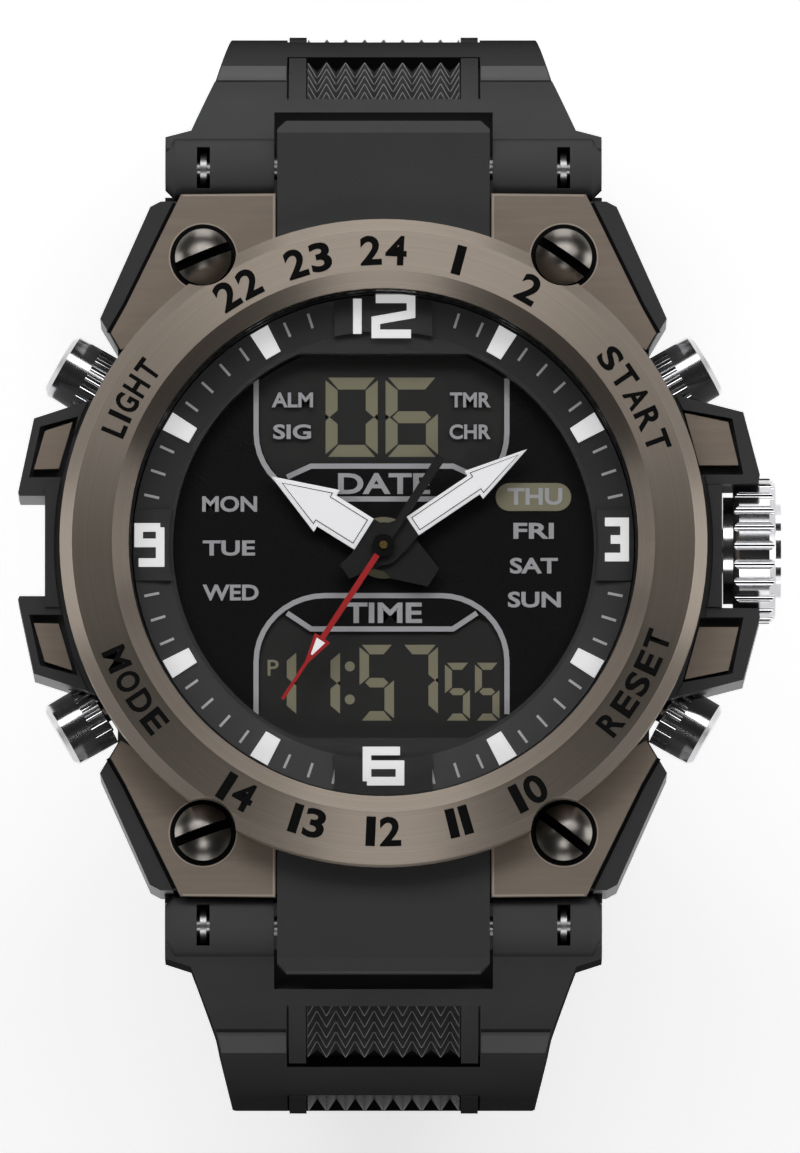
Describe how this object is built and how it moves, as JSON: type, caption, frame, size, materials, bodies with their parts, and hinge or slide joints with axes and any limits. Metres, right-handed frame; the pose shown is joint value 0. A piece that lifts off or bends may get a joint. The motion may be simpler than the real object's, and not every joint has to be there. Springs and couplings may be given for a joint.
{
  "type": "ana-digi wrist watch",
  "caption": "Sports wrist watch with hands over two digital displays, bronze round bezel, guarded crown, push buttons and an open black strap with buckle.",
  "frame": {"origin": "centre of the flat case back, on the axis of the hands", "axes": "+Z out through the dial, +Y towards twelve, +X towards three and the crown"},
  "size_m": [0.0555, 0.079, 0.061],
  "materials": {
    "case_resin": "fine matt black resin",
    "strap_resin": "soft matt black",
    "bronze": "brushed gunmetal bronze plating",
    "polished_steel": "polished",
    "steel": "satin",
    "glass": "flat clear mineral glass",
    "seal": "matt",
    "dial_black": "matt printed black",
    "white_marker": "white luminous paint",
    "display": "dark negative liquid crystal display",
    "clear_plastic": "clear acrylic",
    "module_plastic": "moulded",
    "board_green": "solder mask",
    "brass": "turned",
    "hand_white": "white and black paint",
    "hand_red": "red and black paint"
  },
  "bodies": {
    "case": {"middle_case": "case_resin", "guard_inlays": "bronze", "bezel_plate": "bronze", "bezel_ring": "bronze", "corner_screws": "bronze", "crystal": "glass", "crystal_gasket": "seal", "chapter_ring": "dial_black", "hour_markers": "white_marker", "dial": "dial_black", "lcd_panel": "display", "light_guide": "clear_plastic", "module_frame": "module_plastic", "circuit_board": "board_green", "contact_strips": "seal", "battery": "steel", "battery_clip": "steel", "sounder": "brass", "button_contacts": "steel", "main_plate": "brass", "train_bridge": "brass", "minute_post": "steel", "stator": "steel", "motor_coil": "brass", "case_back": "steel", "back_gasket": "seal", "back_screws": "steel", "button_tubes": "steel", "crown_tube": "steel", "spring_bars": "steel"},
    "strap_12": {"strap_12": "strap_resin"},
    "strap_6": {"strap_6": "strap_resin"},
    "sliding_keeper": {"sliding_keeper": "strap_resin"},
    "buckle": {"buckle_frame": "polished_steel", "buckle_bar": "polished_steel"},
    "tongue": {"buckle_tongue": "polished_steel"},
    "setting_slide": {"setting_slide": "steel"},
    "crown": {"crown": "polished_steel", "stem": "steel", "crown_gasket": "seal"},
    "button_2": {"button_2": "polished_steel", "button_spring_2": "steel"},
    "button_4": {"button_4": "polished_steel", "button_spring_4": "steel"},
    "button_8": {"button_8": "polished_steel", "button_spring_8": "steel"},
    "button_10": {"button_10": "polished_steel", "button_spring_10": "steel"},
    "second_hand": {"second_wheel": "brass", "second_hand": "hand_red"},
    "third_wheel": {"third_wheel": "brass"},
    "minute_hand": {"centre_wheel": "brass", "minute_hand": "hand_white"},
    "minute_wheel": {"minute_wheel": "brass"},
    "hour_hand": {"hour_wheel": "brass", "hour_hand": "hand_white"},
    "between_wheel": {"between_wheel": "brass"},
    "rotor": {"rotor": "brass"}
  },
  "joints": [
    {"name": "strap_12_hinge", "type": "hinge", "parent": "case", "child": "strap_12", "pos_m": [0, 0.0276, 0.009], "axis": [1, 0, 0], "range_deg": [-15, 6]},
    {"name": "strap_6_hinge", "type": "hinge", "parent": "case", "child": "strap_6", "pos_m": [0, -0.0276, 0.009], "axis": [-1, 0, 0], "range_deg": [0, 20]},
    {"name": "keeper_slide", "type": "slide", "parent": "strap_12", "child": "sliding_keeper", "axis": [0, 1, 0], "range_m": [-0.002, 0.0022]},
    {"name": "buckle_hinge", "type": "hinge", "parent": "strap_12", "child": "buckle", "pos_m": [0, 0.00761, -0.03101], "axis": [1, 0, 0], "range_deg": [-30, 0]},
    {"name": "tongue_hinge", "type": "hinge", "parent": "buckle", "child": "tongue", "pos_m": [0, 0.00761, -0.03101], "axis": [1, 0, 0], "range_deg": [0, 40]},
    {"name": "crown_pull", "type": "slide", "parent": "case", "child": "setting_slide", "axis": [1, 0, 0], "range_m": [0, 0.001]},
    {"name": "crown_turn", "type": "hinge", "parent": "setting_slide", "child": "crown", "pos_m": [0, 0, 0.006], "axis": [1, 0, 0], "continuous": true},
    {"name": "button_2_press", "type": "slide", "parent": "case", "child": "button_2", "axis": [-0.866, -0.5, 0], "range_m": [0, 0.0008], "stiffness_N_per_m": 1200, "springref_m": -0.0006},
    {"name": "button_4_press", "type": "slide", "parent": "case", "child": "button_4", "axis": [-0.866, 0.5, 0], "range_m": [0, 0.0008], "stiffness_N_per_m": 1200, "springref_m": -0.0006},
    {"name": "button_8_press", "type": "slide", "parent": "case", "child": "button_8", "axis": [0.866, 0.5, 0], "range_m": [0, 0.0008], "stiffness_N_per_m": 1200, "springref_m": -0.0006},
    {"name": "button_10_press", "type": "slide", "parent": "case", "child": "button_10", "axis": [0.866, -0.5, 0], "range_m": [0, 0.0008], "stiffness_N_per_m": 1200, "springref_m": -0.0006},
    {"name": "second_turn", "type": "hinge", "parent": "case", "child": "second_hand", "pos_m": [0, 0, 0.004], "axis": [0, 0, -1], "continuous": true},
    {"name": "third_turn", "type": "hinge", "parent": "case", "child": "third_wheel", "pos_m": [0, 0.0034, 0.004], "axis": [0, 0, -1], "continuous": true},
    {"name": "minute_turn", "type": "hinge", "parent": "case", "child": "minute_hand", "pos_m": [0, 0, 0.0046], "axis": [0, 0, -1], "continuous": true},
    {"name": "minute_wheel_turn", "type": "hinge", "parent": "case", "child": "minute_wheel", "pos_m": [0, -0.003, 0.0057], "axis": [0, 0, -1], "continuous": true},
    {"name": "hour_turn", "type": "hinge", "parent": "case", "child": "hour_hand", "pos_m": [0, 0, 0.006], "axis": [0, 0, -1], "continuous": true},
    {"name": "between_turn", "type": "hinge", "parent": "case", "child": "between_wheel", "pos_m": [-0.00336, 0, 0.0035], "axis": [0, 0, -1], "continuous": true},
    {"name": "rotor_turn", "type": "hinge", "parent": "case", "child": "rotor", "pos_m": [-0.00588, 0, 0.0035], "axis": [0, 0, -1], "continuous": true}
  ],
  "couplings": [
    {"joint": "third_turn", "follows": "second_turn", "ratio": -0.13333},
    {"joint": "minute_turn", "follows": "second_turn", "ratio": 0.016667},
    {"joint": "minute_wheel_turn", "follows": "second_turn", "ratio": -0.0055556},
    {"joint": "hour_turn", "follows": "second_turn", "ratio": 0.0013889},
    {"joint": "between_turn", "follows": "second_turn", "ratio": -6},
    {"joint": "rotor_turn", "follows": "second_turn", "ratio": 30}
  ]
}
